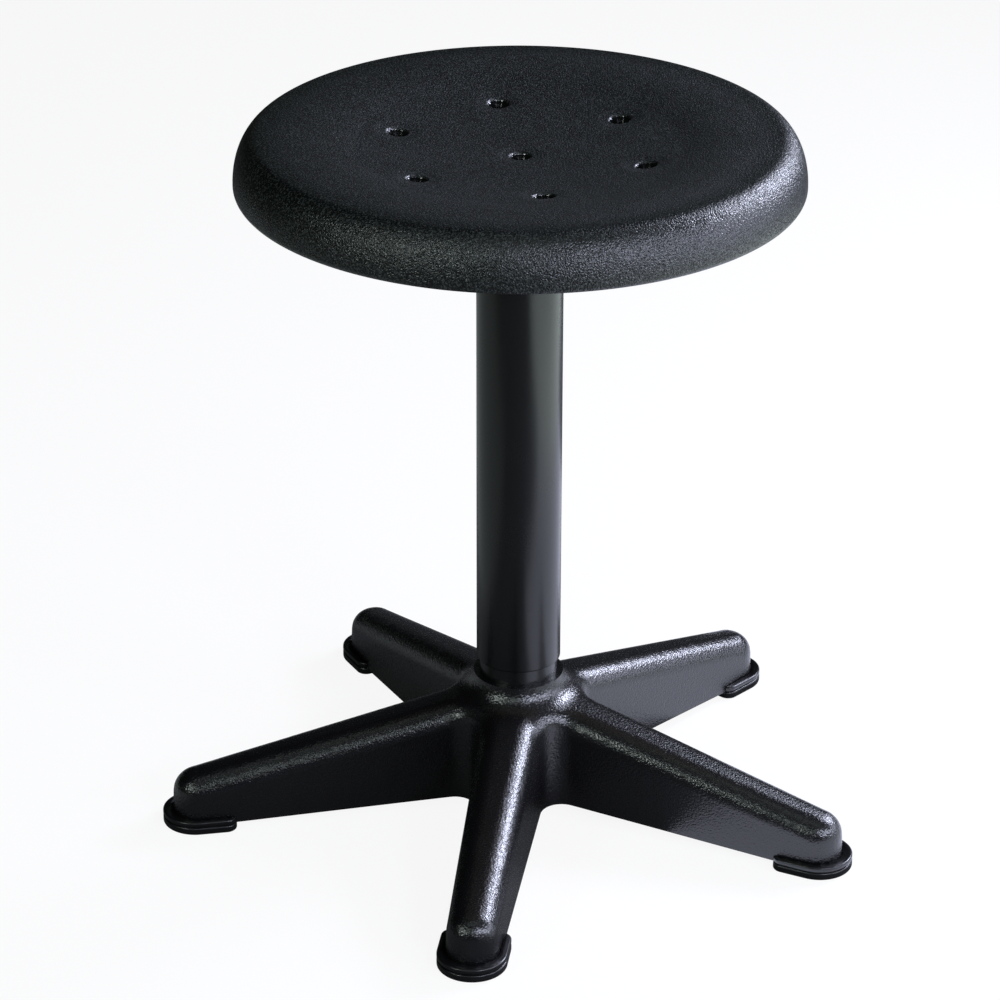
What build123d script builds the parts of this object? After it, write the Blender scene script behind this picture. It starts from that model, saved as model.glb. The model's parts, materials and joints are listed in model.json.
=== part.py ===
from build123d import *
import os
from math import cos, radians, sin, sqrt, tan

os.makedirs("parts", exist_ok=True)

# Height-adjustable swivel stool: a foam seat on a gas spring, over a moulded five-arm base.
# Lengths are millimetres, angles degrees. The origin lies on the floor, on the swivel axis, with the
# first arm along -Y. The seat is drawn at its lowest height.

# Clearances: on the radius for round pairs, between faces for flat ones
running_gap = 0.05
press_gap = 0.02
rest_gap = 0.3

# Base: plan of the arms, heights of their roof and lower edge, and the moulding's walls
arm_count = 5
first_arm_angle = -90
arm_reach = 227
arm_tip_width = 34
arm_root_width = 46
arm_tip_height = 32.6
arm_root_height = 76.2
arm_root_lift = 9
web_radius = 14
arm_edge_radius = 14.5
hollow_edge_radius = 9
roof_least_rise = 0.5
draft_angle = 2.5
flare_diameter = 84
hub_top_diameter = 58
hub_top_height = 91
hub_boss_diameter = 66
hub_socket_depth = 50
base_wall = 4
rib_thickness = 3
cross_rib_count = 3

# Glides: shoes under the arm tips, held by stems with spring rings
glide_floor = 5
glide_height = 9
glide_width = 43.5
glide_length = 46
glide_nose_overhang = 6.3
glide_corner_radius = 7
glide_fit_gap = 0.2
glide_groove_depth = 1.2
glide_groove_height = 1.2
glide_lip_height = 2.8
glide_edge_radius = 1.2
stem_diameter = 11
stem_length = 24
stem_embed = 3
stem_boss_wall = 4
stem_ring_wire = 1
stem_ring_drop = 5
stem_ring_gap_angle = 30

# Stand tube: its lower end is a cone wedged into the hub
stand_tube_diameter = 50
stand_tube_wall = 1.8
stand_tube_length = 240
taper_half_angle = 1.4378
taper_margin = 4
tube_floor_recess = 7
tube_floor_thickness = 4
guide_bush_length = 80
guide_bush_flange = 2.5
guide_bush_flange_diameter = 49

# Swivel bearing and the rod that stands on it
race_thickness = 2
race_diameter = 30
ball_diameter = 4
ball_count = 14
ball_circle_diameter = 21
cage_thickness = 1.6
rod_diameter = 10
rod_neck_diameter = 8
rod_tail = 6
rod_clip_diameter = 16
rod_clip_thickness = 1.2
rod_groove_depth = 0.8
buffer_diameter = 22
buffer_height = 16
buffer_edge_radius = 2

# Gas spring
lift_stroke = 140
pressure_tube_diameter = 28
pressure_tube_wall = 2
pressure_tube_length = 326
top_taper_margin = 4
rod_guide_length = 16
rod_seal_length = 6
piston_length = 12
piston_neck_diameter = 6
piston_groove_depth = 2
piston_groove_length = 4
valve_body_length = 24
valve_chamber_depth = 21
button_diameter = 7
button_rise = 5
button_stroke = 2.5
button_chamfer = 0.6

# Seat bracket, cone socket and cover sleeve
socket_diameter = 36
socket_length = 34
socket_drop = 2
bracket_rise = 13.6
bracket_depth = 27
bracket_thickness = 3
bracket_width = 62
bracket_flange_width = 24
bracket_length = 124
bracket_bend_radius = 4.5
sleeve_diameter = 54
sleeve_wall = 1.5
sleeve_gap = 10.5
sleeve_ring_height = 12

# Release lever: a plate on a cross tube, with a moulded grip
lever_thickness = 6
lever_pivot_reach = 24
lever_pivot_drop = 10
lever_pivot_radius = 6
lever_nose_radius = 2.5
lever_arm_radius = 4.5
lever_bend_reach = 70
lever_bend_drop = 17
lever_end_reach = 130
lever_end_drop = 20
lever_tube_diameter = 12
lever_pin_diameter = 6
lever_pin_head_diameter = 8
lever_pin_head_height = 1.5
lever_side_play = 0.5
grip_start_reach = 98
grip_width = 26
grip_height = 12
grip_wall = 18
grip_corner_radius = 6.5
grip_edge_radius = 4

# Seat: foam around a plywood board
seat_diameter = 350
seat_thickness = 43.2
crest_diameter = 312
rim_round_height = 29
rim_height = 32.5
rim_edge_radius = 4
seat_flat_diameter = 284
dish_depth = 14.2
crease_diameter = 203
crease_depth = 6.2
dimple_count = 6
dimple_circle_diameter = 161
first_dimple_angle = 47.5
dimple_diameter = 16
dimple_depth = 5
dimple_lip_radius = 1.5
board_diameter = 270
board_thickness = 9

# Seat fasteners: M6 screws from below into tee nuts in the board
screw_diameter = 6
screw_length = 12
screw_head_diameter = 10.5
screw_head_height = 4
screw_hex_width = 4
screw_hex_depth = 2.4
screw_spacing_y = 90
washer_diameter = 12.5
washer_thickness = 1.5
screw_hole_diameter = 6.6
tee_nut_flange_diameter = 18
tee_nut_flange_thickness = 1.4
tee_nut_barrel_diameter = 7.6

# Heights along the column, from the floor up
taper_slope = tan(radians(taper_half_angle))
taper_top = hub_top_height + taper_margin
tube_bottom = hub_top_height - hub_socket_depth
tube_top = tube_bottom + stand_tube_length
floor_bottom = tube_bottom + tube_floor_recess
floor_top = floor_bottom + tube_floor_thickness
lower_race_top = floor_top + race_thickness
ball_height = lower_race_top + press_gap + ball_diameter / 2
upper_race_bottom = ball_height + ball_diameter / 2 + press_gap
rod_shoulder = upper_race_bottom + race_thickness
rod_bottom = floor_bottom - rod_tail
clip_top = floor_bottom - rest_gap
buffer_top = rod_shoulder + buffer_height
spring_bottom = buffer_top + rest_gap
spring_top = spring_bottom + pressure_tube_length
rod_guide_top = spring_bottom + rod_guide_length
rod_seal_top = rod_guide_top + rod_seal_length
piston_bottom = rod_seal_top + lift_stroke + rest_gap
piston_top = piston_bottom + piston_length
button_top = spring_top + button_rise
socket_top = spring_top - socket_drop
socket_bottom = socket_top - socket_length
top_taper_bottom = socket_bottom - top_taper_margin
board_bottom = spring_top + bracket_rise
board_top = board_bottom + board_thickness
bracket_bottom = board_bottom - bracket_depth
sleeve_bottom = hub_top_height + sleeve_gap
crest_height = board_bottom + seat_thickness
washer_bottom = board_bottom - bracket_thickness - washer_thickness

# Radii and places that several pieces share
stand_tube_radius = stand_tube_diameter / 2
tube_bore_radius = stand_tube_radius - stand_tube_wall
pressure_tube_radius = pressure_tube_diameter / 2
pressure_bore_radius = pressure_tube_radius - pressure_tube_wall
rod_radius = rod_diameter / 2
neck_radius = rod_neck_diameter / 2
sleeve_bore_radius = sleeve_diameter / 2 - sleeve_wall
stem_circle_radius = arm_reach - arm_tip_width / 2
glide_end_radius = arm_reach + glide_nose_overhang
glide_start_radius = glide_end_radius - glide_length
stem_bottom = glide_floor - stem_embed
stem_top = stem_bottom + stem_length
roof_slope = (arm_root_height - arm_tip_height) / (arm_reach - flare_diameter / 2)
screw_x = bracket_width / 2 + bracket_flange_width / 2
dish_rise = dish_depth - crease_depth
dish_cap_radius = ((crease_diameter / 2) ** 2 + dish_rise**2) / (2 * dish_rise)


def stand_radius(height):
    """Outer radius of the stand tube, which narrows in the hub."""
    return stand_tube_radius - max(0, taper_top - height) * taper_slope


def pressure_radius(height):
    """Outer radius of the pressure tube, which narrows in the seat's socket."""
    return pressure_tube_radius - max(0, height - top_taper_bottom) * taper_slope


def roof_height(radius):
    """Height of the arms' roof line at a distance from the axis."""
    return arm_tip_height + (arm_reach - radius) * roof_slope


def dish_height(radius):
    """Height of the seat's dish inside its crease, a spherical cap."""
    return crest_height - dish_depth + dish_cap_radius - sqrt(dish_cap_radius**2 - radius**2)


def turned(*points):
    """Closed outline of radius and height points, in the plane through the axis."""
    with BuildSketch(Plane.XZ) as outline:
        with BuildLine():
            Polyline(*points, close=True)
        make_face()
    return outline.sketch


def ring(inner_radius, outer_radius, bottom, top):
    """Outline of a plain ring about the axis."""
    return turned(
        (inner_radius, bottom),
        (outer_radius, bottom),
        (outer_radius, top),
        (inner_radius, top),
    )


def roof_of(solid):
    """Largest face that looks upward rather than sideways."""
    upward = solid.faces().filter_by(lambda face: face.normal_at().Z > roof_least_rise)
    return upward.sort_by(SortBy.AREA)[-1]


def rounded_bar(plane, start, start_radius, end, end_radius):
    """Tapered bar with round ends: the hull of two circles."""
    with BuildSketch(plane) as bar:
        with Locations(start):
            Circle(start_radius)
        with Locations(end):
            Circle(end_radius)
        make_hull()
    return bar.sketch


# Plan of the base: five tapered arms with round noses, joined by concave webs
arm_plan = rounded_bar(Plane.XY, (0, 0), arm_root_width / 2, (stem_circle_radius, 0), arm_tip_width / 2)
with BuildSketch() as star_plan:
    with PolarLocations(0, arm_count, start_angle=first_arm_angle):
        add(arm_plan)
    fillet(star_plan.vertices().sort_by_distance((0, 0, 0))[:arm_count], web_radius)

# Hollow under the base, less the hub boss, ribs and stem bosses that stand in it
with BuildPart() as base_hollow:
    with BuildSketch():
        add(star_plan.sketch)
        offset(amount=-base_wall, mode=Mode.REPLACE)
    extrude(amount=hub_top_height, taper=draft_angle)
    with BuildSketch(Plane.XZ):
        with BuildLine():
            Polyline(
                (0, 0),
                (arm_reach, 0),
                (arm_reach, roof_height(arm_reach) - base_wall),
                (0, roof_height(0) - base_wall),
                close=True,
            )
        make_face()
    revolve(axis=Axis.Z, mode=Mode.INTERSECT)
    fillet(roof_of(base_hollow.part).outer_wire().edges(), hollow_edge_radius)
    with Locations((0, 0, tube_bottom)):
        Cylinder(
            hub_boss_diameter / 2,
            hub_top_height,
            align=(Align.CENTER, Align.CENTER, Align.MIN),
            mode=Mode.SUBTRACT,
        )
    rib_start = hub_boss_diameter / 2 - base_wall / 2
    rib_run = stem_circle_radius - rib_start
    with PolarLocations(rib_start + rib_run / 2, arm_count, start_angle=first_arm_angle):
        Box(rib_run, rib_thickness, 2 * hub_top_height, mode=Mode.SUBTRACT)
    for step in range(1, cross_rib_count + 1):
        cross_radius = rib_start + rib_run * step / (cross_rib_count + 1)
        with PolarLocations(cross_radius, arm_count, start_angle=first_arm_angle):
            Box(rib_thickness, arm_root_width, 2 * hub_top_height, mode=Mode.SUBTRACT)
    with PolarLocations(stem_circle_radius, arm_count, start_angle=first_arm_angle):
        Cylinder(stem_diameter / 2 + stem_boss_wall, 2 * hub_top_height, mode=Mode.SUBTRACT)

# Base moulding: drafted star under a conical roof that flares up to the hub's collar
with BuildPart() as five_star_base:
    with BuildSketch():
        add(star_plan.sketch)
    extrude(amount=hub_top_height, taper=draft_angle)
    with BuildSketch(Plane.XZ):
        with BuildLine():
            roof_outer = arm_reach + base_wall
            flare_foot = (flare_diameter / 2, arm_root_height)
            collar = (hub_top_diameter / 2, hub_top_height)
            Polyline(
                collar,
                (0, hub_top_height),
                (0, glide_floor + arm_root_lift),
                (glide_start_radius, glide_floor),
                (roof_outer, glide_floor),
                (roof_outer, roof_height(roof_outer)),
                flare_foot,
            )
            TangentArc(flare_foot, collar, tangent=(-1, roof_slope))
        make_face()
    revolve(axis=Axis.Z, mode=Mode.INTERSECT)
    fillet(roof_of(five_star_base.part).outer_wire().edges(), arm_edge_radius)
    add(base_hollow.part, mode=Mode.SUBTRACT)
    with Locations((0, 0, tube_bottom)):
        Cone(
            stand_radius(tube_bottom) + press_gap,
            stand_radius(hub_top_height) + press_gap,
            hub_socket_depth,
            align=(Align.CENTER, Align.CENTER, Align.MIN),
            mode=Mode.SUBTRACT,
        )
    with PolarLocations(stem_circle_radius, arm_count, start_angle=first_arm_angle):
        Cylinder(
            stem_diameter / 2 + press_gap,
            stem_top + rest_gap,
            align=(Align.CENTER, Align.CENTER, Align.MIN),
            mode=Mode.SUBTRACT,
        )
five_star_base.part.label = "five_star_base"
export_step(five_star_base.part, "parts/five_star_base.step")

# Glide: shoe with a grooved rim, whose pocket takes the arm's tip
with BuildSketch() as glide_plan:
    nose_centre = glide_end_radius - glide_width / 2
    with Locations((nose_centre, 0)):
        Circle(glide_width / 2)
    with Locations(((glide_start_radius + nose_centre) / 2, 0)):
        Rectangle(nose_centre - glide_start_radius, glide_width)
    fillet(glide_plan.vertices().group_by(Axis.X)[0], glide_corner_radius)

with BuildPart() as glide_shoe:
    lip_bottom = glide_height - glide_lip_height
    groove_bottom = lip_bottom - glide_groove_height
    with BuildSketch():
        add(glide_plan.sketch)
    extrude(amount=groove_bottom)
    fillet(glide_shoe.faces().filter_by(Axis.Z).edges(), glide_edge_radius)
    with BuildSketch(Plane.XY.offset(lip_bottom)):
        add(glide_plan.sketch)
    extrude(amount=glide_lip_height)
    fillet(glide_shoe.faces().sort_by(Axis.Z)[-1].edges(), glide_edge_radius)
    with BuildSketch(Plane.XY.offset(glide_edge_radius)):
        add(glide_plan.sketch)
        offset(amount=-glide_groove_depth, mode=Mode.REPLACE)
    extrude(amount=glide_height - 2 * glide_edge_radius)
    with BuildSketch(Plane.XY.offset(glide_floor)):
        add(arm_plan)
        offset(amount=glide_fit_gap, mode=Mode.REPLACE)
    extrude(amount=glide_height, mode=Mode.SUBTRACT)
    with Locations((stem_circle_radius, 0, stem_bottom)):
        Cylinder(
            stem_diameter / 2 + press_gap,
            glide_height,
            align=(Align.CENTER, Align.CENTER, Align.MIN),
            mode=Mode.SUBTRACT,
        )

for index in range(arm_count):
    with BuildPart() as glide:
        add(glide_shoe.part, rotation=(0, 0, first_arm_angle + index * 360 / arm_count))
    glide.part.label = f"glide_{index + 1}"
    export_step(glide.part, f"parts/glide_{index + 1}.step")

# Glide stems: steel pins with a groove near the top
with BuildPart() as glide_stems:
    ring_height = stem_top - stem_ring_drop
    groove_radius = stem_diameter / 2 - stem_ring_wire
    with BuildSketch(Plane.XZ) as stem_outline:
        with BuildLine():
            Polyline(
                (0, stem_bottom),
                (stem_diameter / 2, stem_bottom),
                (stem_diameter / 2, ring_height - stem_ring_wire),
                (groove_radius, ring_height - stem_ring_wire),
                (groove_radius, ring_height + stem_ring_wire),
                (stem_diameter / 2, ring_height + stem_ring_wire),
                (stem_diameter / 2, stem_top - stem_ring_wire),
                (stem_diameter / 2 - stem_ring_wire, stem_top),
                (0, stem_top),
                close=True,
            )
        make_face()
    stem = revolve(stem_outline.sketch, axis=Axis.Z, mode=Mode.PRIVATE)
    with PolarLocations(stem_circle_radius, arm_count, start_angle=first_arm_angle):
        add(stem)
glide_stems.part.label = "glide_stems"
export_step(glide_stems.part, "parts/glide_stems.step")

# Spring rings: open rings that lie in the stems' grooves
with BuildPart() as stem_rings:
    spring_ring = revolve(
        ring(
            groove_radius + press_gap,
            stem_diameter / 2,
            ring_height - stem_ring_wire + press_gap,
            ring_height + stem_ring_wire - press_gap,
        ),
        axis=Axis.Z,
        revolution_arc=360 - stem_ring_gap_angle,
        mode=Mode.PRIVATE,
    )
    with PolarLocations(stem_circle_radius, arm_count, start_angle=first_arm_angle):
        add(spring_ring)
stem_rings.part.label = "stem_rings"
export_step(stem_rings.part, "parts/stem_rings.step")

# Stand tube, with the cone that is wedged into the hub
with BuildPart() as stand_tube:
    revolve(
        turned(
            (stand_radius(tube_bottom), tube_bottom),
            (stand_tube_radius, taper_top),
            (stand_tube_radius, tube_top),
            (tube_bore_radius, tube_top),
            (tube_bore_radius, taper_top),
            (stand_radius(tube_bottom) - stand_tube_wall, tube_bottom),
        ),
        axis=Axis.Z,
    )
stand_tube.part.label = "stand_tube"
export_step(stand_tube.part, "parts/stand_tube.step")

# Plate in the stand tube's foot
with BuildPart() as tube_floor:
    plate_inset = stand_tube_wall + press_gap
    revolve(
        turned(
            (neck_radius + rest_gap, floor_bottom),
            (stand_radius(floor_bottom) - plate_inset, floor_bottom),
            (stand_radius(floor_top) - plate_inset, floor_top),
            (neck_radius + rest_gap, floor_top),
        ),
        axis=Axis.Z,
    )
tube_floor.part.label = "tube_floor"
export_step(tube_floor.part, "parts/tube_floor.step")

# Guide bush in the stand tube's mouth
with BuildPart() as guide_bush:
    bush_bore = pressure_tube_radius + running_gap
    revolve(
        turned(
            (bush_bore, tube_top - guide_bush_length),
            (tube_bore_radius - press_gap, tube_top - guide_bush_length),
            (tube_bore_radius - press_gap, tube_top),
            (guide_bush_flange_diameter / 2, tube_top),
            (guide_bush_flange_diameter / 2, tube_top + guide_bush_flange),
            (bush_bore, tube_top + guide_bush_flange),
        ),
        axis=Axis.Z,
    )
guide_bush.part.label = "guide_bush"
export_step(guide_bush.part, "parts/guide_bush.step")

# Thrust bearing: two races, with balls in a cage between them
with BuildPart() as lower_race:
    revolve(ring(neck_radius + rest_gap, race_diameter / 2, floor_top, lower_race_top), axis=Axis.Z)
lower_race.part.label = "lower_race"
export_step(lower_race.part, "parts/lower_race.step")

with BuildPart() as upper_race:
    revolve(ring(neck_radius + press_gap, race_diameter / 2, upper_race_bottom, rod_shoulder), axis=Axis.Z)
upper_race.part.label = "upper_race"
export_step(upper_race.part, "parts/upper_race.step")

with BuildPart() as bearing_balls:
    with Locations((0, 0, ball_height)):
        with PolarLocations(ball_circle_diameter / 2, ball_count):
            Sphere(ball_diameter / 2)
bearing_balls.part.label = "bearing_balls"
export_step(bearing_balls.part, "parts/bearing_balls.step")

with BuildPart() as ball_cage:
    cage_bottom = ball_height - cage_thickness / 2
    cage_inner_radius = ball_circle_diameter / 2 - ball_diameter
    cage_top = cage_bottom + cage_thickness
    revolve(ring(cage_inner_radius, race_diameter / 2, cage_bottom, cage_top), axis=Axis.Z)
    with Locations((0, 0, ball_height)):
        with PolarLocations(ball_circle_diameter / 2, ball_count):
            Cylinder(ball_diameter / 2 + running_gap, 2 * cage_thickness, mode=Mode.SUBTRACT)
ball_cage.part.label = "ball_cage"
export_step(ball_cage.part, "parts/ball_cage.step")

# Piston rod: it stands on the upper race and hangs in the clip below the plate
with BuildPart() as piston_rod:
    clip_groove_radius = neck_radius - rod_groove_depth
    piston_neck_radius = piston_neck_diameter / 2
    revolve(
        turned(
            (0, rod_bottom),
            (neck_radius, rod_bottom),
            (neck_radius, clip_top - rod_clip_thickness - press_gap),
            (clip_groove_radius, clip_top - rod_clip_thickness - press_gap),
            (clip_groove_radius, clip_top + press_gap),
            (neck_radius, clip_top + press_gap),
            (neck_radius, rod_shoulder),
            (rod_radius, rod_shoulder),
            (rod_radius, piston_bottom),
            (piston_neck_radius, piston_bottom),
            (piston_neck_radius, piston_top),
            (0, piston_top),
        ),
        axis=Axis.Z,
    )
piston_rod.part.label = "piston_rod"
export_step(piston_rod.part, "parts/piston_rod.step")

with BuildPart() as rod_clip:
    revolve(
        ring(clip_groove_radius + press_gap, rod_clip_diameter / 2, clip_top - rod_clip_thickness, clip_top),
        axis=Axis.Z,
    )
    with Locations((rod_clip_diameter / 2, 0, clip_top)):
        Box(rod_clip_diameter, rod_neck_diameter / 2, 4 * rod_clip_thickness, mode=Mode.SUBTRACT)
rod_clip.part.label = "rod_clip"
export_step(rod_clip.part, "parts/rod_clip.step")

with BuildPart() as rubber_buffer:
    revolve(ring(rod_radius + press_gap, buffer_diameter / 2, rod_shoulder, buffer_top), axis=Axis.Z)
    buffer_rim = rubber_buffer.faces().sort_by(Axis.Z)[-1].edges().sort_by(SortBy.LENGTH)[-1]
    fillet(buffer_rim, buffer_edge_radius)
rubber_buffer.part.label = "rubber_buffer"
export_step(rubber_buffer.part, "parts/rubber_buffer.step")

# Piston with its seal
with BuildPart() as piston:
    piston_radius = pressure_bore_radius - running_gap
    groove_low = piston_bottom + (piston_length - piston_groove_length) / 2
    groove_high = groove_low + piston_groove_length
    revolve(
        turned(
            (piston_neck_radius + press_gap, piston_bottom),
            (piston_radius, piston_bottom),
            (piston_radius, groove_low),
            (piston_radius - piston_groove_depth, groove_low),
            (piston_radius - piston_groove_depth, groove_high),
            (piston_radius, groove_high),
            (piston_radius, piston_top),
            (piston_neck_radius + press_gap, piston_top),
        ),
        axis=Axis.Z,
    )
piston.part.label = "piston"
export_step(piston.part, "parts/piston.step")

with BuildPart() as piston_seal:
    seal_inner_radius = piston_radius - piston_groove_depth + press_gap
    revolve(
        ring(seal_inner_radius, piston_radius, groove_low + press_gap, groove_high - press_gap),
        axis=Axis.Z,
    )
piston_seal.part.label = "piston_seal"
export_step(piston_seal.part, "parts/piston_seal.step")

# Pressure tube, with the cone that is wedged into the seat's socket
with BuildPart() as pressure_tube:
    revolve(
        turned(
            (pressure_bore_radius, spring_bottom),
            (pressure_tube_radius, spring_bottom),
            (pressure_tube_radius, top_taper_bottom),
            (pressure_radius(spring_top), spring_top),
            (pressure_bore_radius, spring_top),
        ),
        axis=Axis.Z,
    )
pressure_tube.part.label = "pressure_tube"
export_step(pressure_tube.part, "parts/pressure_tube.step")

with BuildPart() as rod_guide:
    revolve(
        ring(rod_radius + running_gap, pressure_bore_radius - press_gap, spring_bottom, rod_guide_top),
        axis=Axis.Z,
    )
rod_guide.part.label = "rod_guide"
export_step(rod_guide.part, "parts/rod_guide.step")

with BuildPart() as rod_seal:
    revolve(
        ring(rod_radius + running_gap, pressure_bore_radius - press_gap, rod_guide_top, rod_seal_top),
        axis=Axis.Z,
    )
rod_seal.part.label = "rod_seal"
export_step(rod_seal.part, "parts/rod_seal.step")

# Valve body in the tube's top, with the button's chamber
with BuildPart() as valve_body:
    chamber_radius = button_diameter / 2 + running_gap
    revolve(
        turned(
            (0, spring_top - valve_body_length),
            (pressure_bore_radius - press_gap, spring_top - valve_body_length),
            (pressure_bore_radius - press_gap, spring_top),
            (chamber_radius, spring_top),
            (chamber_radius, spring_top - valve_chamber_depth),
            (0, spring_top - valve_chamber_depth),
        ),
        axis=Axis.Z,
    )
valve_body.part.label = "valve_body"
export_step(valve_body.part, "parts/valve_body.step")

with BuildPart() as release_button:
    button_bottom = spring_top - valve_chamber_depth + button_stroke + rest_gap
    revolve(ring(0, button_diameter / 2, button_bottom, button_top), axis=Axis.Z)
    chamfer(release_button.faces().sort_by(Axis.Z)[-1].edges(), button_chamfer)
release_button.part.label = "release_button"
export_step(release_button.part, "parts/release_button.step")

# Cone socket welded into the bracket
with BuildPart() as taper_socket:
    revolve(
        turned(
            (pressure_radius(socket_bottom) + press_gap, socket_bottom),
            (socket_diameter / 2, socket_bottom),
            (socket_diameter / 2, socket_top),
            (pressure_radius(socket_top) + press_gap, socket_top),
        ),
        axis=Axis.Z,
    )
taper_socket.part.label = "taper_socket"
export_step(taper_socket.part, "parts/taper_socket.step")

# Seat bracket: sheet folded into a channel with flanges, open at both ends for the lever
with BuildPart() as seat_bracket:
    wall_x = (bracket_width - bracket_thickness) / 2
    edge_x = bracket_width / 2 + bracket_flange_width
    flange_z = board_bottom - bracket_thickness / 2
    web_z = bracket_bottom + bracket_thickness / 2
    with BuildSketch(Plane.XZ):
        with BuildLine():
            FilletPolyline(
                (-edge_x, flange_z),
                (-wall_x, flange_z),
                (-wall_x, web_z),
                (wall_x, web_z),
                (wall_x, flange_z),
                (edge_x, flange_z),
                radius=bracket_bend_radius,
            )
        trace(line_width=bracket_thickness)
    extrude(amount=bracket_length / 2, both=True)
    with Locations((0, 0, bracket_bottom)):
        Cylinder(socket_diameter / 2 + press_gap, 4 * bracket_thickness, mode=Mode.SUBTRACT)
    with Locations((0, 0, board_bottom)):
        with GridLocations(2 * screw_x, screw_spacing_y, 2, 2):
            Cylinder(screw_hole_diameter / 2, 4 * bracket_thickness, mode=Mode.SUBTRACT)
    with Locations((0, lever_pivot_reach, board_bottom - lever_pivot_drop)):
        Cylinder(
            lever_pin_diameter / 2 + press_gap,
            2 * bracket_width,
            rotation=(0, 90, 0),
            mode=Mode.SUBTRACT,
        )
seat_bracket.part.label = "seat_bracket"
export_step(seat_bracket.part, "parts/seat_bracket.step")

# Cover sleeve over the stand tube, and the ring that centres it on the socket
with BuildPart() as cover_sleeve:
    revolve(ring(sleeve_bore_radius, sleeve_diameter / 2, sleeve_bottom, bracket_bottom), axis=Axis.Z)
cover_sleeve.part.label = "cover_sleeve"
export_step(cover_sleeve.part, "parts/cover_sleeve.step")

with BuildPart() as sleeve_ring:
    revolve(
        ring(
            socket_diameter / 2 + press_gap,
            sleeve_bore_radius - press_gap,
            bracket_bottom - sleeve_ring_height,
            bracket_bottom,
        ),
        axis=Axis.Z,
    )
sleeve_ring.part.label = "sleeve_ring"
export_step(sleeve_ring.part, "parts/sleeve_ring.step")

# Release lever: its nose lies over the button, its arm runs out below the seat
lever_nose = (0, button_top + rest_gap + lever_nose_radius)
lever_root = (lever_pivot_reach, lever_nose[1])
lever_pivot = (lever_pivot_reach, board_bottom - lever_pivot_drop)
lever_bend = (lever_bend_reach, board_bottom - lever_bend_drop)
lever_end = (lever_end_reach, board_bottom - lever_end_drop)
with BuildPart() as release_lever:
    with BuildSketch(Plane.YZ):
        add(rounded_bar(Plane.XY, lever_nose, lever_nose_radius, lever_root, lever_nose_radius))
        add(rounded_bar(Plane.XY, lever_pivot, lever_pivot_radius, lever_bend, lever_arm_radius))
        add(rounded_bar(Plane.XY, lever_bend, lever_arm_radius, lever_end, lever_arm_radius))
    extrude(amount=lever_thickness / 2, both=True)
    lever_tube_length = bracket_width - 2 * bracket_thickness - 2 * lever_side_play
    with Locations((0, *lever_pivot)):
        Cylinder(lever_tube_diameter / 2, lever_tube_length, rotation=(0, 90, 0))
        Cylinder(
            lever_pin_diameter / 2 + running_gap,
            2 * bracket_width,
            rotation=(0, 90, 0),
            mode=Mode.SUBTRACT,
        )
release_lever.part.label = "release_lever"
export_step(release_lever.part, "parts/release_lever.step")

with BuildPart() as lever_pin:
    with Locations((0, *lever_pivot)):
        Cylinder(lever_pin_diameter / 2, bracket_width + 2 * press_gap, rotation=(0, 90, 0))
    for side in (-1, 1):
        head_x = side * (bracket_width / 2 + press_gap + lever_pin_head_height / 2)
        with Locations((head_x, *lever_pivot)):
            Cylinder(lever_pin_head_diameter / 2, lever_pin_head_height, rotation=(0, 90, 0))
lever_pin.part.label = "lever_pin"
export_step(lever_pin.part, "parts/lever_pin.step")

# Grip moulded over the lever's end
with BuildPart() as lever_grip:
    grip_end_reach = lever_end_reach + grip_wall
    with BuildSketch(Plane.XY.offset(lever_end[1] - grip_height / 2)):
        with Locations((0, (grip_start_reach + grip_end_reach) / 2)):
            RectangleRounded(grip_width, grip_end_reach - grip_start_reach, grip_corner_radius)
    extrude(amount=grip_height)
    fillet(lever_grip.faces().filter_by(Axis.Z).edges(), grip_edge_radius)
    with BuildSketch(Plane.YZ):
        pocket_radius = lever_arm_radius + press_gap
        add(rounded_bar(Plane.XY, lever_bend, pocket_radius, lever_end, pocket_radius))
    extrude(amount=lever_thickness / 2 + press_gap, both=True, mode=Mode.SUBTRACT)
lever_grip.part.label = "lever_grip"
export_step(lever_grip.part, "parts/lever_grip.step")

# Seat board with holes for the tee nuts
with BuildPart() as seat_board:
    with Locations((0, 0, board_bottom)):
        Cylinder(board_diameter / 2, board_thickness, align=(Align.CENTER, Align.CENTER, Align.MIN))
    with Locations((0, 0, board_top)):
        with GridLocations(2 * screw_x, screw_spacing_y, 2, 2):
            CounterBoreHole(
                tee_nut_barrel_diameter / 2 + press_gap,
                tee_nut_flange_diameter / 2 + press_gap,
                tee_nut_flange_thickness,
                board_thickness,
            )
seat_board.part.label = "seat_board"
export_step(seat_board.part, "parts/seat_board.step")

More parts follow.
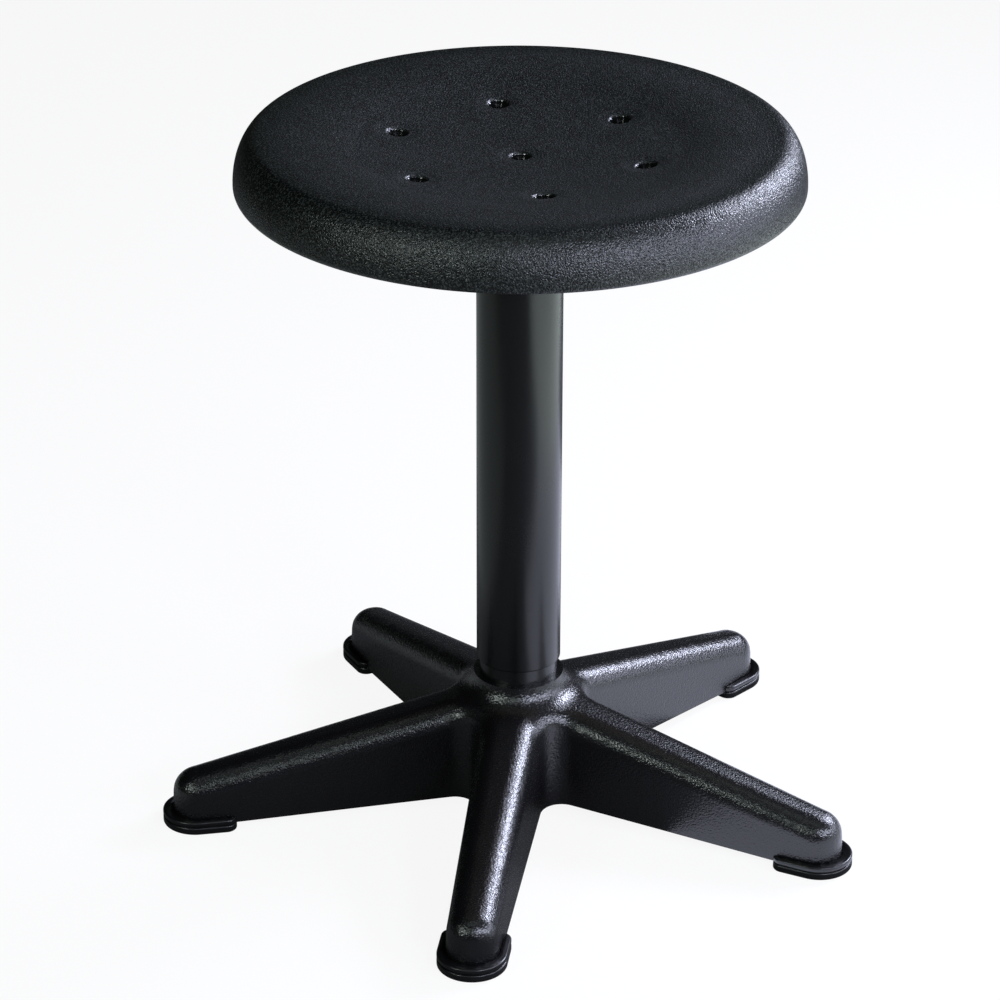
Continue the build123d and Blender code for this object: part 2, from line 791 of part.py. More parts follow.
# Seat pad: dished foam with a rolled rim, dimples on top and a pocket for the board below
with BuildPart() as seat_pad:
    crest = (crest_diameter / 2, crest_height)
    crease = (crease_diameter / 2, crest_height - crease_depth)
    dish_centre = (0, crest_height - dish_depth)
    rim_low = crest_height - rim_round_height
    with BuildSketch(Plane.XZ) as pad_outline:
        with BuildLine():
            TangentArc(dish_centre, crease, tangent=(1, 0))
            TangentArc(crest, crease, tangent=(-1, 0))
            EllipticalCenterArc(
                (crest[0], rim_low),
                seat_diameter / 2 - crest[0],
                rim_round_height,
                start_angle=0,
                arc_size=90,
            )
            Polyline(
                (seat_diameter / 2, rim_low),
                (seat_diameter / 2, crest_height - rim_height),
                (seat_flat_diameter / 2, board_bottom),
                (board_diameter / 2 + press_gap, board_bottom),
                (board_diameter / 2 + press_gap, board_top + press_gap),
                (0, board_top + press_gap),
                dish_centre,
            )
        make_face()
        rim_edge = (seat_diameter / 2, crest_height - rim_height)
        rim_corner = pad_outline.vertices().sort_by_distance(rim_edge)[0]
        fillet(rim_corner, rim_edge_radius)
    revolve(axis=Axis.Z)
    with BuildSketch(Plane.XZ) as bowl_outline:
        with BuildLine():
            lip_edge = (dimple_diameter / 2 + dimple_lip_radius, 0)
            lip_foot = (dimple_diameter / 2, -dimple_lip_radius)
            Polyline(lip_edge, (lip_edge[0], dimple_depth), (0, dimple_depth), (0, -dimple_depth))
            RadiusArc(lip_foot, lip_edge, dimple_lip_radius)
            TangentArc((0, -dimple_depth), lip_foot, tangent=(1, 0))
        make_face()
    bowl = revolve(bowl_outline.sketch, axis=Axis.Z, mode=Mode.PRIVATE)
    with Locations((0, 0, dish_height(0))):
        add(bowl, mode=Mode.SUBTRACT)
    dimple_radius = dimple_circle_diameter / 2
    for step in range(dimple_count):
        bearing = radians(first_dimple_angle + step * 360 / dimple_count)
        outward = Vector(cos(bearing), sin(bearing), 0)
        foot = outward * dimple_radius + Vector(0, 0, dish_height(dimple_radius))
        with Locations(Plane(foot, z_dir=Vector(0, 0, dish_cap_radius) - outward * dimple_radius)):
            add(bowl, mode=Mode.SUBTRACT)
seat_pad.part.label = "seat_pad"
export_step(seat_pad.part, "parts/seat_pad.step")

# Seat fasteners
with BuildPart() as tee_nuts:
    barrel_bottom = board_bottom + bracket_thickness
    with BuildSketch(Plane.XZ) as tee_nut_outline:
        with BuildLine():
            Polyline(
                (screw_diameter / 2 + press_gap, barrel_bottom),
                (tee_nut_barrel_diameter / 2, barrel_bottom),
                (tee_nut_barrel_diameter / 2, board_top - tee_nut_flange_thickness),
                (tee_nut_flange_diameter / 2, board_top - tee_nut_flange_thickness),
                (tee_nut_flange_diameter / 2, board_top),
                (screw_diameter / 2 + press_gap, board_top),
                close=True,
            )
        make_face()
    tee_nut = revolve(tee_nut_outline.sketch, axis=Axis.Z, mode=Mode.PRIVATE)
    with GridLocations(2 * screw_x, screw_spacing_y, 2, 2):
        add(tee_nut)
tee_nuts.part.label = "tee_nuts"
export_step(tee_nuts.part, "parts/tee_nuts.step")

with BuildPart() as seat_screws:
    with GridLocations(2 * screw_x, screw_spacing_y, 2, 2):
        with Locations((0, 0, washer_bottom)):
            Cylinder(screw_diameter / 2, screw_length, align=(Align.CENTER, Align.CENTER, Align.MIN))
            Cylinder(
                screw_head_diameter / 2,
                screw_head_height,
                align=(Align.CENTER, Align.CENTER, Align.MAX),
            )
    with BuildSketch(Plane.XY.offset(washer_bottom - screw_head_height)):
        with GridLocations(2 * screw_x, screw_spacing_y, 2, 2):
            RegularPolygon(screw_hex_width / 2, 6, major_radius=False)
    extrude(amount=screw_hex_depth, mode=Mode.SUBTRACT)
seat_screws.part.label = "seat_screws"
export_step(seat_screws.part, "parts/seat_screws.step")

with BuildPart() as screw_washers:
    with GridLocations(2 * screw_x, screw_spacing_y, 2, 2):
        with Locations((0, 0, washer_bottom)):
            Cylinder(washer_diameter / 2, washer_thickness, align=(Align.CENTER, Align.CENTER, Align.MIN))
            Cylinder(screw_hole_diameter / 2, 4 * washer_thickness, mode=Mode.SUBTRACT)
screw_washers.part.label = "screw_washers"
export_step(screw_washers.part, "parts/screw_washers.step")
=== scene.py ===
import json
import math

import bmesh
import bpy
from mathutils import Matrix, Vector


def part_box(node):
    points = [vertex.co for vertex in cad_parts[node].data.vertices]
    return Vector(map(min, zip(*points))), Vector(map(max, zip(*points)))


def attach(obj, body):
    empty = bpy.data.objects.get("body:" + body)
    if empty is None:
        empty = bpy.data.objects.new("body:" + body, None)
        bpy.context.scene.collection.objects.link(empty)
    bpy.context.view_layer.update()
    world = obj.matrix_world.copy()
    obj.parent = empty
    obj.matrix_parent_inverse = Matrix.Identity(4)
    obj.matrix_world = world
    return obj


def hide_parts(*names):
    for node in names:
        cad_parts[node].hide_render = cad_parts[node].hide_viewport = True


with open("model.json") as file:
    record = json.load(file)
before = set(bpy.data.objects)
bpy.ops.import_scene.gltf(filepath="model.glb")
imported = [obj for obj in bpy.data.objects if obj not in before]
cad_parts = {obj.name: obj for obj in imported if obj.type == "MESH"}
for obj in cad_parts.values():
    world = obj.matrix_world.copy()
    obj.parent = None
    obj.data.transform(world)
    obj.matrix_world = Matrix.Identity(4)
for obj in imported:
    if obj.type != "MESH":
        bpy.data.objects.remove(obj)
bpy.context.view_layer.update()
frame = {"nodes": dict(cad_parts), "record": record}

# Swivel stool: black foam seat, black column, moulded five-arm base on glides. Metres throughout.

# Sizes read from the frame
pad_low, pad_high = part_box("seat_pad")
board_low, board_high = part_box("seat_board")
sleeve_low, sleeve_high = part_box("cover_sleeve")
SEAT_RADIUS = pad_high[0]
CREST_HEIGHT = pad_high[2]
PAD_BOTTOM = pad_low[2]
BOARD_RADIUS = board_high[0] + 0.0002
BOARD_TOP = board_high[2] + 0.0002
SLEEVE_RADIUS = sleeve_high[0]

# Column sleeve
SLEEVE_WALL = 0.0015
SLEEVE_ROLL = 0.0012
SLEEVE_SEGMENTS = 160

# Seat outline
CREST_RADIUS = 0.159
RIM_ROUND_HEIGHT = 0.029
RIM_HEIGHT = 0.0325
RIM_EDGE_RADIUS = 0.004
SEAT_FLAT_RADIUS = 0.142
DISH_DEPTH = 0.0142
CREASE_RADIUS = 0.1015
CREASE_DEPTH = 0.0062
CREASE_SOFTNESS = 0.006
DULL_EDGE_WIDTH = 0.016
SEAT_SEGMENTS = 600

# Dimples in the dish: a ring of them round one in the middle, each a well in a drawn-in margin
DIMPLE_COUNT = 6
DIMPLE_CIRCLE_RADIUS = 0.0805
FIRST_DIMPLE_ANGLE = math.radians(47.5)
DIMPLE_FLOOR_RADIUS = 0.0026
DIMPLE_MOUTH_RADIUS = 0.0074
DIMPLE_DEPTH = 0.0072
MARGIN_RADIUS = 0.016
MARGIN_DEPTH = 0.0006

# Lamps: faintly violet from the right, faintly green elsewhere
KEY_TINT = (0.9, 0.94, 1.16)
SHADE_TINT = (0.93, 1.06, 1.01)
LAMP_AIM = Vector((0, 0, 0.3))

# Floor, with the share of white that the camera and the finishes see in it, and the dim room
FLOOR_WHITE = 0.9
FLOOR_GLOSS = 0.02
FLOOR_REACH = 6.0
FLOOR_DROP = 0.0003
ROOM_STRENGTH = 0.006

# Camera of the photograph, aimed at a point on the swivel axis
AIM = Vector((0, 0, 0.225))
CAMERA_DISTANCE = 2.411
CAMERA_AZIMUTH = math.radians(7.43)
CAMERA_ELEVATION = math.radians(25.66)
CAMERA_ROLL = math.radians(0.235)
CAMERA_LENS = 137.23
CAMERA_SHIFT = (-0.0191, -0.0188)


class Wire:
    """A node socket that takes part in plain arithmetic."""

    def __init__(self, nodes, socket):
        self.nodes = nodes
        self.socket = socket

    def math(self, operation, first, second):
        return self.nodes.node("Math", {"operation": operation}, {0: first, 1: second})

    def __add__(self, other):
        return self.math("ADD", self, other)

    def __sub__(self, other):
        return self.math("SUBTRACT", self, other)

    def __rsub__(self, other):
        return self.math("SUBTRACT", other, self)

    def __mul__(self, other):
        return self.math("MULTIPLY", self, other)

    __radd__ = __add__
    __rmul__ = __mul__


class Nodes:
    """A node tree in the making: node() adds any node and returns one of its outputs."""

    def __init__(self, tree):
        self.tree = tree

    def node(self, kind, settings=None, inputs=None, output=0):
        known = kind.startswith(("GeometryNode", "NodeGroup"))
        node = self.tree.nodes.new(kind if known else "ShaderNode" + kind)
        for key, value in (settings or {}).items():
            if key == "stops":
                self.set_stops(node.color_ramp, value)
            else:
                setattr(node, key, value)
        for key, value in (inputs or {}).items():
            for entry in value if isinstance(value, list) else [value]:
                if isinstance(entry, Wire):
                    self.tree.links.new(entry.socket, node.inputs[key])
                else:
                    node.inputs[key].default_value = entry
        return Wire(self, node.outputs[output]) if node.outputs else None

    def within(self, distance, inner, outer):
        """1 nearer than inner, 0 beyond outer, with a smooth fall between."""
        limits = {"Value": distance, "From Min": inner, "From Max": outer, "To Min": 1.0, "To Max": 0.0}
        return self.node("MapRange", {"interpolation_type": "SMOOTHSTEP"}, limits)

    @staticmethod
    def set_stops(ramp, stops):
        while len(ramp.elements) < len(stops):
            ramp.elements.new(0.5)
        for element, (position, level) in zip(ramp.elements, stops):
            element.position = position
            element.color = (level, level, level, 1)


class Finish(Nodes):
    """A material in the making, with the textures and the shader that its finish needs."""

    def __init__(self, name):
        self.material = bpy.data.materials.new(name)
        self.material.use_nodes = True
        super().__init__(self.material.node_tree)
        self.tree.nodes.clear()

    def place(self):
        return self.node("TexCoord", output="Object")

    def noise(self, place, size, detail=2.0, roughness=0.5):
        """Noise from 0 to 1 whose features are about size metres."""
        inputs = {"Vector": place, "Scale": 1 / size, "Detail": detail, "Roughness": roughness}
        return self.node("TexNoise", None, inputs)

    def cells(self, place, size, feature="F1"):
        """Distance to the nearest of scattered points about size metres apart."""
        return self.node("TexVoronoi", {"feature": feature}, {"Vector": place, "Scale": 1 / size})

    def ramp(self, value, *stops):
        return self.node("ValToRGB", {"stops": stops}, {"Fac": value})

    def blend(self, factor, first, second):
        """Mix of two colours."""
        return self.node("Mix", {"data_type": "RGBA"}, {0: factor, 6: first, 7: second}, output=2)

    def bump(self, height, depth, strength=1.0):
        """Normal of a relief that is depth metres deep."""
        return self.node("Bump", None, {"Strength": strength, "Distance": depth, "Height": height})

    def surface(self, **sockets):
        """Ends the material in one shader; words in a socket's name are joined by underscores."""
        inputs = {key.replace("_", " "): value for key, value in sockets.items()}
        shader = self.node("BsdfPrincipled", None, inputs)
        self.node("OutputMaterial", None, {"Surface": shader})
        return self.material


def colour(red, green, blue):
    return (red, green, blue, 1.0)


def seat_skin():
    """Black integral-skin foam: leather grain, dull in the dish, polished on the rim and in the dimples,
    with painted highlights as pale specks on the grain's tops.
    """
    skin = Finish("seat_skin")
    place = skin.place()
    depth = skin.node("Attribute", {"attribute_name": "dimple"}, output="Fac")
    dimple = skin.ramp(depth, (0.02, 0.0), (0.2, 1.0))
    sway = skin.node("TexNoise", None, {"Vector": place, "Scale": 400.0, "Detail": 1.0}, output=1)
    swayed = skin.node("VectorMath", {"operation": "SCALE"}, {0: sway, "Scale": 0.0009})
    warped = skin.node("VectorMath", {"operation": "ADD"}, {0: place, 1: swayed})
    grain = skin.cells(warped, 0.0016, "DISTANCE_TO_EDGE")
    plates = skin.ramp(grain, (0.0, 0.0), (0.3, 1.0))
    pebbles = skin.noise(place, 0.0013, detail=1.0)
    relief = (plates * 0.5 + pebbles * 1.2) * (1 - dimple)
    drift = skin.noise(place, 0.004, detail=1.0)
    broad = skin.noise(place, 0.03, detail=3.0)
    level = skin.node("VectorMath", {"operation": "MULTIPLY"}, {0: place, 1: (1, 1, 0)})
    radius = skin.node("VectorMath", {"operation": "LENGTH"}, {0: level}, output="Value")
    dish = skin.within(radius, CREST_RADIUS - DULL_EDGE_WIDTH, CREST_RADIUS)
    # Pale specks on the grain's tops, kept out of the dimples: painted highlights that stand in for the
    # grain's glints.
    painted_grain_glints = skin.ramp(pebbles, (0.5, 0.0), (0.64, 1.0)) * (1 - dimple)
    tint = skin.blend(broad, colour(0.0018, 0.0021, 0.0021), colour(0.0034, 0.004, 0.0039))
    return skin.surface(
        Base_Color=skin.blend(painted_grain_glints, tint, colour(0.027, 0.033, 0.031)),
        Roughness=(0.26 + drift * 0.08 + broad * 0.08 + dish * 0.13) * (1 - dimple * 0.75),
        Normal=skin.bump(relief, 0.00026),
    )


def base_plastic():
    """Black moulded plastic with a pebble grain."""
    plastic = Finish("base_plastic")
    place = plastic.place()
    pebble = plastic.cells(place, 0.0014, "F1")
    fine = plastic.noise(place, 0.001, detail=1.0)
    broad = plastic.noise(place, 0.02, detail=2.0)
    relief = (1 - pebble) * 0.7 + fine * 0.9
    tint = plastic.blend(broad, colour(0.0022, 0.0022, 0.0025), colour(0.004, 0.004, 0.0045))
    return plastic.surface(
        Base_Color=tint,
        Roughness=0.22 + fine * 0.08,
        Normal=plastic.bump(relief, 0.0002),
        IOR=1.6,
    )


def glide_plastic():
    """Smooth black plastic with faint moulding flow."""
    plastic = Finish("glide_plastic")
    place = plastic.place()
    flow = plastic.noise(place, 0.006, detail=3.0)
    scuff = plastic.noise(place, 0.0008)
    return plastic.surface(
        Base_Color=plastic.blend(flow, colour(0.0025, 0.0025, 0.0028), colour(0.0042, 0.0042, 0.0046)),
        Roughness=0.24 + flow * 0.10 + scuff * 0.06,
        Normal=plastic.bump(scuff, 0.00003, 0.35),
    )


def column_paint():
    """Satin black powder coat with a faint orange peel."""
    paint = Finish("column_paint")
    place = paint.place()
    peel = paint.noise(place, 0.0022, detail=1.0)
    broad = paint.noise(place, 0.04, detail=2.0)
    return paint.surface(
        Base_Color=paint.blend(broad, colour(0.0026, 0.003, 0.003), colour(0.004, 0.0046, 0.0045)),
        Roughness=0.21 + broad * 0.06 + peel * 0.04,
        Normal=paint.bump(peel, 0.00004, 0.35),
    )


def plain_finish(name, dark, light, roughness, grain_size, grain_depth, metallic=0.0):
    """A fine-grained finish of one colour: paint, plastic, rubber or turned metal."""
    finish = Finish(name)
    place = finish.place()
    grain = finish.noise(place, grain_size, detail=3.0)
    broad = finish.noise(place, grain_size * 12, detail=2.0)
    return finish.surface(
        Base_Color=finish.blend(broad, colour(*dark), colour(*light)),
        Metallic=metallic,
        Roughness=roughness - 0.05 + grain * 0.1,
        Normal=finish.bump(grain, grain_depth, 0.5),
    )


def plywood():
    """Beech plywood: streaked face grain with short rays."""
    wood = Finish("plywood")
    place = wood.place()
    streaks = wood.node("Mapping", None, {"Vector": place, "Scale": (1.0, 0.06, 1.0)})
    grain = wood.noise(streaks, 0.0025, detail=4.0, roughness=0.6)
    rays = wood.cells(streaks, 0.0016)
    tone = grain * 0.75 + rays * 0.25
    return wood.surface(
        Base_Color=wood.blend(tone, colour(0.40, 0.26, 0.13), colour(0.66, 0.48, 0.29)),
        Roughness=0.55 + grain * 0.15,
        Normal=wood.bump(tone, 0.0001, 0.4),
    )


FINISHES = {
    "seat_skin": seat_skin(),
    "base_plastic": base_plastic(),
    "glide_plastic": glide_plastic(),
    "column_paint": column_paint(),
    "plywood": plywood(),
}

# Name, dark and light colour, roughness, size and depth of the grain, and how metallic
PLAIN_FINISHES = (
    ("bracket_paint", (0.012, 0.012, 0.013), (0.02, 0.02, 0.021), 0.5, 0.0012, 0.00004),
    ("spring_paint", (0.015, 0.015, 0.015), (0.025, 0.025, 0.025), 0.3, 0.001, 0.00002),
    ("grip_plastic", (0.010, 0.010, 0.010), (0.018, 0.018, 0.018), 0.45, 0.0008, 0.00006),
    ("bush_plastic", (0.68, 0.66, 0.6), (0.78, 0.76, 0.71), 0.4, 0.001, 0.00002),
    ("seal_rubber", (0.012, 0.012, 0.012), (0.02, 0.02, 0.02), 0.6, 0.0008, 0.00005),
    ("brass_fittings", (0.6, 0.42, 0.16), (0.72, 0.52, 0.24), 0.28, 0.0006, 0.00001, 1.0),
    ("bright_steel", (0.48, 0.48, 0.49), (0.62, 0.62, 0.63), 0.3, 0.0006, 0.00001, 1.0),
)
FINISHES.update({row[0]: plain_finish(*row) for row in PLAIN_FINISHES})


def new_piece(name, mesh, body, slot, *nodes):
    """A finished piece in place of CAD nodes, riding on their body."""
    piece = bpy.data.objects.new(name, mesh)
    bpy.context.scene.collection.objects.link(piece)
    piece.data.materials.clear()
    piece.data.materials.append(FINISHES[slot])
    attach(piece, body)
    if nodes:
        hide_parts(*nodes)
    return piece


def smooth_steps(low, high, value):
    """0 below low, 1 above high, with a smooth rise between."""
    step = min(max((value - low) / (high - low), 0.0), 1.0)
    return step * step * (3 - 2 * step)


def dish_height(radius):
    """Height of the seat's top inside the crest: a shallow cap, a soft crease and a ring that levels out."""
    rise = DISH_DEPTH - CREASE_DEPTH
    cap = (CREASE_RADIUS**2 + rise**2) / (2 * rise)
    run = CREST_RADIUS - CREASE_RADIUS
    ring = (run**2 + CREASE_DEPTH**2) / (2 * CREASE_DEPTH)
    inner = CREST_HEIGHT - DISH_DEPTH + cap - math.sqrt(cap**2 - radius**2)
    outer = CREST_HEIGHT - ring + math.sqrt(max(ring**2 - (CREST_RADIUS - radius) ** 2, 0.0))
    share = smooth_steps(CREASE_RADIUS - CREASE_SOFTNESS, CREASE_RADIUS + CREASE_SOFTNESS, radius)
    return inner * (1 - share) + outer * share


def spread(start, end, count):
    """Evenly spaced values after start, up to and including end."""
    return [start + (end - start) * step / count for step in range(1, count + 1)]


def seat_outline():
    """Radius and height points from the middle of the dish, over the rim and under to the board's pocket."""
    inner_ring = DIMPLE_CIRCLE_RADIUS - MARGIN_RADIUS
    outer_ring = DIMPLE_CIRCLE_RADIUS + MARGIN_RADIUS
    radii = spread(0, MARGIN_RADIUS, 26) + spread(MARGIN_RADIUS, inner_ring, 14)
    radii += spread(inner_ring, outer_ring, 58) + spread(outer_ring, CREST_RADIUS, 26)
    points = [(radius, dish_height(radius)) for radius in radii]
    rim_low = CREST_HEIGHT - RIM_ROUND_HEIGHT
    for angle in spread(math.pi / 2, 0, 22):
        points.append((
            CREST_RADIUS + (SEAT_RADIUS - CREST_RADIUS) * math.cos(angle),
            rim_low + RIM_ROUND_HEIGHT * math.sin(angle),
        ))
    edge_height = CREST_HEIGHT - RIM_HEIGHT
    fall = math.atan2(edge_height - PAD_BOTTOM, SEAT_RADIUS - SEAT_FLAT_RADIUS)
    reach = RIM_EDGE_RADIUS * math.tan((math.pi / 2 - fall) / 2)
    centre = (SEAT_RADIUS - RIM_EDGE_RADIUS, edge_height + reach)
    for angle in [0.0] + spread(0, -(math.pi / 2 - fall), 6):
        points.append((
            centre[0] + RIM_EDGE_RADIUS * math.cos(angle),
            centre[1] + RIM_EDGE_RADIUS * math.sin(angle),
        ))
    points += [(SEAT_FLAT_RADIUS, PAD_BOTTOM), (BOARD_RADIUS, PAD_BOTTOM), (BOARD_RADIUS, BOARD_TOP)]
    return points


def lathe(name, outline, segments, closed):
    """Mesh turned from radius and height points; a closed outline makes a tube, an open one is capped."""
    mesh = bpy.data.meshes.new(name)
    shape = bmesh.new()
    rows = []
    for radius, height in outline:
        turn = [2 * math.pi * step / segments for step in range(segments)]
        rows.append([shape.verts.new((radius * math.cos(a), radius * math.sin(a), height)) for a in turn])
    pairs = list(zip(rows, rows[1:] + rows[:1])) if closed else list(zip(rows, rows[1:]))
    for upper, lower in pairs:
        for step in range(segments):
            following = (step + 1) % segments
            shape.faces.new((upper[step], upper[following], lower[following], lower[step]))
    if not closed:
        shape.faces.new(rows[0])
        shape.faces.new(rows[-1])
    bmesh.ops.recalc_face_normals(shape, faces=shape.faces)
    shape.to_mesh(mesh)
    shape.free()
    mesh.shade_smooth()
    return mesh


def pressed_dimples():
    """Geometry tree that sinks the dimples into a seat, and each size's socket with its value."""
    tree = bpy.data.node_groups.new("pressed_dimples", "GeometryNodeTree")
    sizes = {
        "Count": DIMPLE_COUNT,
        "Circle Radius": DIMPLE_CIRCLE_RADIUS,
        "First Angle": FIRST_DIMPLE_ANGLE,
        "Floor Radius": DIMPLE_FLOOR_RADIUS,
        "Mouth Radius": DIMPLE_MOUTH_RADIUS,
        "Depth": DIMPLE_DEPTH,
        "Margin Radius": MARGIN_RADIUS,
        "Margin Depth": MARGIN_DEPTH,
    }
    tree.interface.new_socket("Seat", in_out="INPUT", socket_type="NodeSocketGeometry")
    values = {}
    for name, value in sizes.items():
        kind = "NodeSocketInt" if isinstance(value, int) else "NodeSocketFloat"
        values[tree.interface.new_socket(name, in_out="INPUT", socket_type=kind).identifier] = value
    tree.interface.new_socket("Seat", in_out="OUTPUT", socket_type="NodeSocketGeometry")

    press = Nodes(tree)
    entry = tree.nodes.new("NodeGroupInput")
    size = {socket.name: Wire(press, socket) for socket in entry.outputs if socket.name}
    turn = press.node("CombineXYZ", None, {"Z": size["First Angle"]})
    circle = {"Vertices": size["Count"], "Radius": size["Circle Radius"]}
    ring = press.node("GeometryNodeMeshCircle", None, circle)
    turned = press.node("GeometryNodeTransform", None, {"Geometry": ring, "Rotation": turn})
    middle = press.node("GeometryNodeMeshLine", None, {"Count": 1})
    centres = press.node("GeometryNodeJoinGeometry", None, {0: [turned, middle]})
    place = press.node("GeometryNodeInputPosition")
    level = press.node("VectorMath", {"operation": "MULTIPLY"}, {0: place, 1: (1, 1, 0)})
    distance = press.node(
        "GeometryNodeProximity",
        {"target_element": "POINTS"},
        {0: centres, "Sample Position": level},
        output="Distance",
    )
    height = press.node("SeparateXYZ", None, {0: place}, output="Z")
    upper = press.node("Math", {"operation": "GREATER_THAN"}, {0: height, 1: BOARD_TOP + DIMPLE_DEPTH / 2})

    well = press.within(distance, size["Floor Radius"], size["Mouth Radius"]) * upper
    margin = press.within(distance, size["Mouth Radius"], size["Margin Radius"]) * upper
    drop = press.node("CombineXYZ", None, {"Z": 0 - well * size["Depth"] - margin * size["Margin Depth"]})
    sunk = press.node("GeometryNodeSetPosition", None, {"Geometry": size["Seat"], "Offset": drop})
    mark = {"Geometry": sunk, "Name": "dimple", "Value": well}
    marked = press.node("GeometryNodeStoreNamedAttribute", None, mark)
    whole = press.node("GeometryNodeRealizeInstances", None, {"Geometry": marked})
    skin = {"Geometry": whole, "Material": FINISHES["seat_skin"]}
    skinned = press.node("GeometryNodeSetMaterial", None, skin)
    press.node("NodeGroupOutput", None, {0: skinned})
    return tree, values


def seat_cushion():
    """The foam seat, turned with its dish, crease and rolled rim, then dimpled."""
    turned = lathe("seat_blank", seat_outline(), SEAT_SEGMENTS, closed=False)
    blank = bpy.data.objects.new("seat_blank", turned)
    bpy.context.scene.collection.objects.link(blank)
    pressing = blank.modifiers.new("pressed_dimples", "NODES")
    pressing.node_group, values = pressed_dimples()
    for identifier, value in values.items():
        pressing[identifier] = value
    mesh = bpy.data.meshes.new_from_object(blank.evaluated_get(bpy.context.evaluated_depsgraph_get()))
    bpy.data.objects.remove(blank)
    mesh.name = "seat_cushion"
    mesh.set_sharp_from_angle(angle=math.radians(60))
    cushion = new_piece("seat_cushion", mesh, "seat", "seat_skin", "seat_pad")


def column_sleeve():
    """The column's outer tube, its lower edge rolled inwards."""
    top = sleeve_high[2]
    bore = SLEEVE_RADIUS - SLEEVE_WALL
    outline = [(bore, top), (SLEEVE_RADIUS, top), (SLEEVE_RADIUS, sleeve_low[2] + SLEEVE_ROLL)]
    for angle in spread(0, -math.pi / 2, 6):
        outline.append((
            SLEEVE_RADIUS - SLEEVE_ROLL + SLEEVE_ROLL * math.cos(angle),
            sleeve_low[2] + SLEEVE_ROLL + SLEEVE_ROLL * math.sin(angle),
        ))
    outline.append((bore, sleeve_low[2]))
    mesh = lathe("column_sleeve", outline, SLEEVE_SEGMENTS, closed=True)
    mesh.set_sharp_from_angle(angle=math.radians(50))
    new_piece("column_sleeve", mesh, "seat", "column_paint", "cover_sleeve")


def smooth_moulding(name, node, body, slot):
    """A CAD node's own shape with its facets welded and shaded smooth between its edges."""
    shape = bmesh.new()
    shape.from_mesh(frame["nodes"][node].data)
    bmesh.ops.remove_doubles(shape, verts=shape.verts, dist=1e-6)
    mesh = bpy.data.meshes.new(name)
    shape.to_mesh(mesh)
    shape.free()
    mesh.shade_smooth()
    mesh.set_sharp_from_angle(angle=math.radians(30))
    moulding = new_piece(name, mesh, body, slot, node)
    moulding.modifiers.new("even_shading", "WEIGHTED_NORMAL").keep_sharp = True


seat_cushion()
column_sleeve()
smooth_moulding("base_moulding", "five_star_base", "base", "base_plastic")
smooth_moulding("column_stand", "stand_tube", "base", "column_paint")
for number in range(1, 6):
    smooth_moulding(f"glide_moulding_{number}", f"glide_{number}", "base", "glide_plastic")

# CAD nodes that stay take the finish of their slot
slot_of = {part["node"]: part["material_slot"] for part in frame["record"]["subparts"]}
for node, piece in frame["nodes"].items():
    piece.data.materials.clear()
    piece.data.materials.append(FINISHES[slot_of[node]])


def floor_paint():
    """White ground: near white where it is seen, with the stool's shadow, darker in black finishes."""
    ground = Finish("pale_floor")
    camera = ground.node("LightPath", output="Is Camera Ray")
    glossy = ground.node("LightPath", output="Is Glossy Ray")
    through = ground.node("LightPath", output="Is Transmission Ray")
    seen = camera + through
    tone = ground.blend(seen, colour(0.13, 0.13, 0.13), colour(0.9, 0.9, 0.9))
    pale = ground.node("BsdfDiffuse", None, {"Color": tone})
    white = ground.node("Emission", None, {"Color": colour(1, 1, 1), "Strength": 1.0})
    share = seen * FLOOR_WHITE + glossy * FLOOR_GLOSS
    mixed = ground.node("MixShader", None, {0: share, 1: pale, 2: white})
    ground.node("OutputMaterial", None, {"Surface": mixed})
    return ground.material


def add_floor():
    mesh = bpy.data.meshes.new("floor")
    corners = [(-1, -1), (1, -1), (1, 1), (-1, 1)]
    points = [(x * FLOOR_REACH, y * FLOOR_REACH, -FLOOR_DROP) for x, y in corners]
    mesh.from_pydata(points, [], [(0, 1, 2, 3)])
    floor = bpy.data.objects.new("floor", mesh)
    mesh.materials.append(floor_paint())
    bpy.context.scene.collection.objects.link(floor)


def add_world():
    """Dim studio, white where the camera looks past the floor."""
    world = bpy.data.worlds.new("studio")
    world.use_nodes = True
    world.node_tree.nodes.clear()
    studio = Nodes(world.node_tree)
    camera = studio.node("LightPath", output="Is Camera Ray")
    room = studio.node("Background", None, {"Color": colour(1, 1, 1), "Strength": ROOM_STRENGTH})
    backdrop = studio.node("Background", None, {"Color": colour(1, 1, 1), "Strength": 1.0})
    mixed = studio.node("MixShader", None, {0: camera, 1: room, 2: backdrop})
    studio.node("OutputWorld", None, {"Surface": mixed})
    bpy.context.scene.world = world


def around(azimuth, elevation, distance):
    """Point in a direction from the lamps' aim, in degrees from the right and up."""
    turn, lift = math.radians(azimuth), math.radians(elevation)
    level = math.cos(lift)
    return LAMP_AIM + distance * Vector((level * math.cos(turn), level * math.sin(turn), math.sin(lift)))


def add_lamp(name, place, target, width, height, brightness, tint):
    """Soft box aimed at a point; brightness is that of its face, where 1 shows as white."""
    light = bpy.data.lights.new(name, "AREA")
    light.shape = "RECTANGLE"
    light.size = width
    light.size_y = height
    light.energy = brightness * math.pi * width * height
    light.color = tint
    lamp = bpy.data.objects.new(name, light)
    lamp.location = place
    lamp.rotation_euler = (Vector(target) - Vector(place)).to_track_quat("-Z", "Y").to_euler()
    bpy.context.scene.collection.objects.link(lamp)


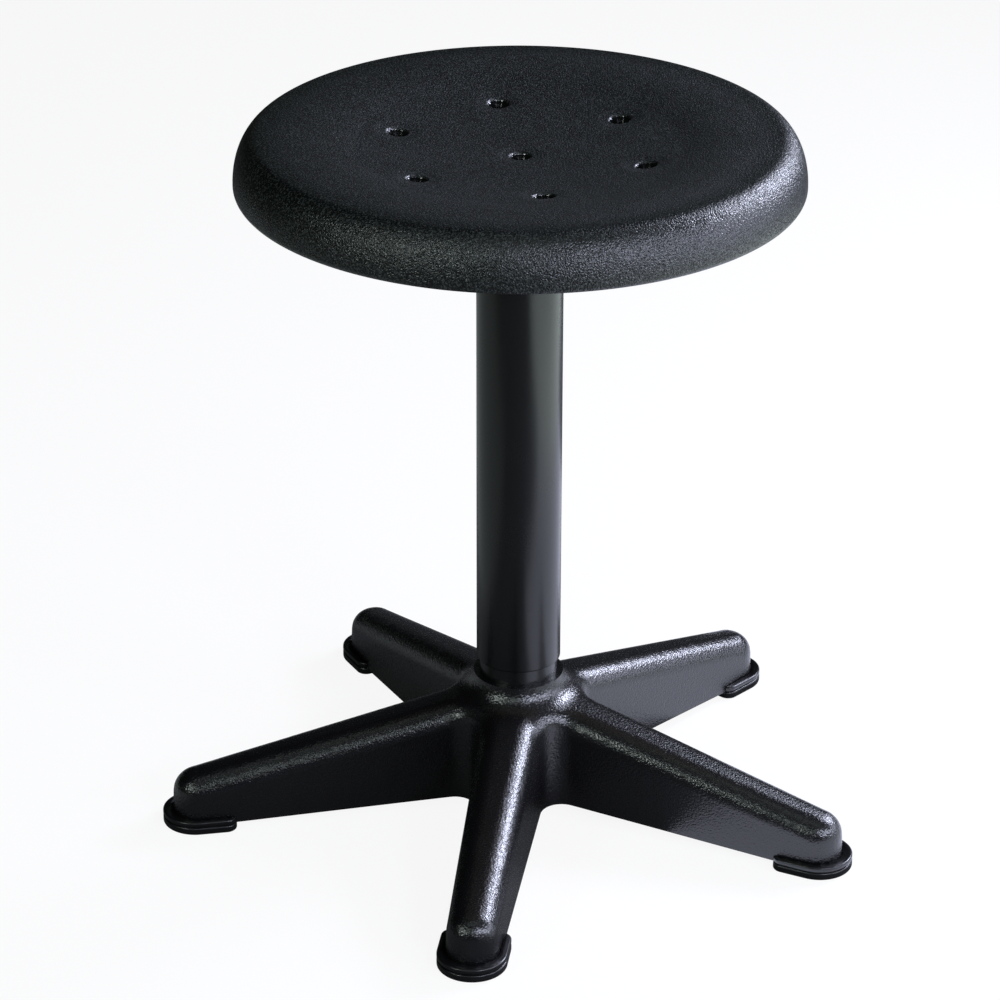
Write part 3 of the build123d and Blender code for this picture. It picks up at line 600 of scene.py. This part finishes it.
def add_camera():
    """The photograph's camera: long lens, above and a little to the right of the front arm."""
    level = math.cos(CAMERA_ELEVATION)
    towards = Vector((
        level * math.sin(CAMERA_AZIMUTH),
        -level * math.cos(CAMERA_AZIMUTH),
        math.sin(CAMERA_ELEVATION),
    ))
    lens = bpy.data.cameras.new("camera")
    lens.lens = CAMERA_LENS
    lens.sensor_width = 36.0
    lens.shift_x, lens.shift_y = CAMERA_SHIFT
    camera = bpy.data.objects.new("camera", lens)
    aim = (-towards).to_track_quat("-Z", "Y").to_matrix() @ Matrix.Rotation(CAMERA_ROLL, 3, "Z")
    camera.matrix_world = Matrix.Translation(AIM + towards * CAMERA_DISTANCE) @ aim.to_4x4()
    bpy.context.scene.collection.objects.link(camera)
    bpy.context.scene.camera = camera


add_floor()
add_world()
add_lamp("key", around(3, 8, 1.5), LAMP_AIM, 1.4, 0.5, 4.6, KEY_TINT)
add_lamp("kicker", around(40, 24, 1.5), LAMP_AIM, 0.6, 0.3, 37.0, KEY_TINT)
add_lamp("kicker_top", around(50, 37, 1.5), LAMP_AIM, 0.6, 0.4, 8.0, KEY_TINT)
add_lamp("front_left", around(-128, 24, 1.8), LAMP_AIM, 0.5, 0.2, 25.0, SHADE_TINT)
add_lamp("front", around(-88, 27, 1.8), LAMP_AIM, 0.5, 0.2, 5.4, SHADE_TINT)
add_lamp("front_right", around(-54, 24, 1.8), LAMP_AIM, 0.5, 0.2, 39.0, KEY_TINT)
add_lamp("right", around(-26, 18, 1.8), LAMP_AIM, 0.5, 0.2, 30.0, KEY_TINT)
add_lamp("top", around(-85, 72, 1.3), LAMP_AIM, 1.2, 0.4, 0.8, SHADE_TINT)
add_lamp("back", around(97, 10, 2.0), LAMP_AIM, 1.6, 0.4, 0.08, SHADE_TINT)
add_lamp("right_card", (0.28, 0.1, 0.004), (0.28, 0.1, 1), 0.36, 0.7, 1.25, KEY_TINT)
add_lamp("far_card", (0.74, -0.05, 0.004), (0.74, -0.05, 1), 0.55, 1.6, 1.85, SHADE_TINT)
add_lamp("left_card", (-0.7, 0.15, 0.004), (-0.7, 0.15, 1), 0.9, 1.2, 0.24, SHADE_TINT)
add_camera()
bpy.context.scene.view_settings.view_transform = "Standard"
